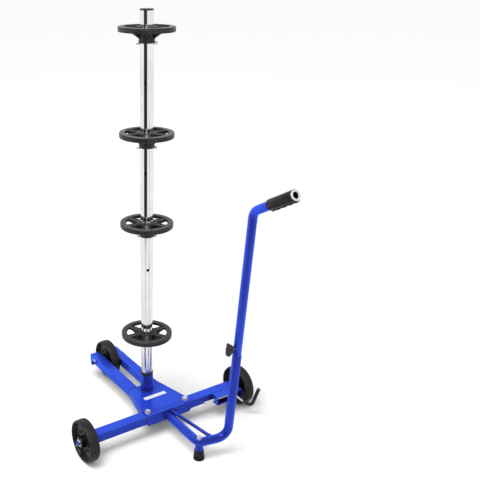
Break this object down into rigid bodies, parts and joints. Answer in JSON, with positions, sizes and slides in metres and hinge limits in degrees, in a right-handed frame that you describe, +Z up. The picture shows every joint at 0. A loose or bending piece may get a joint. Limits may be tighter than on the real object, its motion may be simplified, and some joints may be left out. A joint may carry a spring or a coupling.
{
  "type": "wheel storage tree trolley",
  "caption": "Tall chrome mast with disc supports for stacked car wheels, on a wheeled steel base with a bent pull handle, parking foot and wheel lock.",
  "frame": {"origin": "on the floor, at the middle of the parking foot's sole", "axes": "+Z up along the mast, which stands at +Y from the foot; +X along the crossbar towards the lever-operated wheel lock, +Y towards the rear fork; the pull handle leans away on the -Y side"},
  "size_m": [0.704, 0.9656, 1.422],
  "materials": {
    "blue_coat": "glossy blue powder coat",
    "black_plastic": "satin moulded black",
    "tyre_rubber": "smooth solid tyre",
    "black_rubber": "matt rubber",
    "grey_plastic": "light grey moulded",
    "chrome": "bright plated tube",
    "zinc_steel": "zinc plated",
    "brass": "yellow passivated",
    "white_label": "blank printed strip"
  },
  "bodies": {
    "base": {"base_plate": "blue_coat", "crossbar": "blue_coat", "crossbar_end_plates": "blue_coat", "fork_leg_left": "blue_coat", "fork_leg_right": "blue_coat", "fork_end_plates": "blue_coat", "mast_socket": "blue_coat", "socket_floor": "blue_coat", "socket_ring": "black_plastic", "base_bolts": "zinc_steel", "base_bolt_washers": "zinc_steel", "base_nuts": "zinc_steel", "blank_label": "white_label", "axle_left": "blue_coat", "axle_right": "blue_coat", "axle_rear": "blue_coat", "axle_washers": "zinc_steel", "cotter_pins": "zinc_steel", "lock_box": "blue_coat", "lock_rivet": "brass", "lock_spring": "zinc_steel", "drawbar_tube": "blue_coat", "brace_rod": "blue_coat", "foot_leg": "blue_coat", "foot_bolt": "zinc_steel", "foot_washer": "zinc_steel", "foot_nut": "zinc_steel", "foot_cap": "black_rubber", "clamp_nut": "blue_coat"},
    "wheel_left": {"wheel_core_left": "black_plastic", "tyre_left": "tyre_rubber"},
    "wheel_right": {"wheel_core_right": "black_plastic", "tyre_right": "tyre_rubber"},
    "wheel_rear": {"wheel_core_rear": "black_plastic", "tyre_rear": "tyre_rubber"},
    "lock_lever": {"lock_lever": "zinc_steel", "lever_sleeve": "black_plastic"},
    "lock_pin": {"lock_pin": "zinc_steel", "lock_pin_clip": "zinc_steel"},
    "mast": {"mast_lower": "chrome", "mast_middle": "chrome", "mast_upper": "chrome", "mast_cap": "black_plastic"},
    "handle": {"handle_tube": "blue_coat", "handle_grip": "black_rubber", "grip_end_ring": "grey_plastic"},
    "knob": {"clamp_knob": "black_plastic", "clamp_stud": "zinc_steel"},
    "disc_low": {"support_disc_low": "black_plastic"},
    "pin_low": {"cross_pin_low": "zinc_steel"},
    "disc_second": {"support_disc_second": "black_plastic"},
    "pin_second": {"cross_pin_second": "zinc_steel"},
    "disc_third": {"support_disc_third": "black_plastic"},
    "pin_third": {"cross_pin_third": "zinc_steel"},
    "disc_high": {"support_disc_high": "black_plastic"},
    "pin_high": {"cross_pin_high": "zinc_steel"}
  },
  "joints": [
    {"name": "wheel_left_spin", "type": "hinge", "parent": "base", "child": "wheel_left", "pos_m": [-0.321, 0.1975, 0.0725], "axis": [1, 0, 0], "continuous": true},
    {"name": "wheel_right_spin", "type": "hinge", "parent": "base", "child": "wheel_right", "pos_m": [0.321, 0.1975, 0.0725], "axis": [1, 0, 0], "continuous": true},
    {"name": "wheel_rear_spin", "type": "hinge", "parent": "base", "child": "wheel_rear", "pos_m": [0, 0.6236, 0.0725], "axis": [1, 0, 0], "continuous": true},
    {"name": "lock_lever_swing", "type": "hinge", "parent": "base", "child": "lock_lever", "pos_m": [0.259, 0.151, 0.075], "axis": [0, 0, -1], "range_deg": [0, 80]},
    {"name": "lock_pin_slide", "type": "slide", "parent": "base", "child": "lock_pin", "axis": [1, 0, 0], "range_m": [0, 0.0175]},
    {"name": "mast_spin", "type": "hinge", "parent": "base", "child": "mast", "pos_m": [0, 0.329, 0.7], "axis": [0, 0, 1], "continuous": true},
    {"name": "disc_low_lift", "type": "slide", "parent": "mast", "child": "disc_low", "axis": [0, 0, 1], "range_m": [0, 0.355]},
    {"name": "disc_second_lift", "type": "slide", "parent": "mast", "child": "disc_second", "axis": [0, 0, 1], "range_m": [0, 0.245]},
    {"name": "disc_third_lift", "type": "slide", "parent": "mast", "child": "disc_third", "axis": [0, 0, 1], "range_m": [0, 0.27]},
    {"name": "disc_high_lift", "type": "slide", "parent": "mast", "child": "disc_high", "axis": [0, 0, 1], "range_m": [0, 0.05]},
    {"name": "pin_low_pull", "type": "slide", "parent": "mast", "child": "pin_low", "axis": [0.8387, -0.5446, 0], "range_m": [0, 0.075]},
    {"name": "pin_second_pull", "type": "slide", "parent": "mast", "child": "pin_second", "axis": [0.8387, -0.5446, 0], "range_m": [0, 0.075]},
    {"name": "pin_third_pull", "type": "slide", "parent": "mast", "child": "pin_third", "axis": [0.8387, -0.5446, 0], "range_m": [0, 0.075]},
    {"name": "pin_high_pull", "type": "slide", "parent": "mast", "child": "pin_high", "axis": [0.8387, -0.5446, 0], "range_m": [0, 0.075]},
    {"name": "handle_slide", "type": "slide", "parent": "base", "child": "handle", "axis": [0, -0.0837, 0.9965], "range_m": [-0.05, 0.12]},
    {"name": "clamp_knob_turn", "type": "hinge", "parent": "base", "child": "knob", "pos_m": [0.098, -0.05573, 0.421], "axis": [-1, 0, 0], "range_deg": [0, 360]}
  ],
  "couplings": [
    {"joint": "lock_pin_slide", "follows": "lock_lever_swing", "m_per_rad": 0.012533}
  ]
}
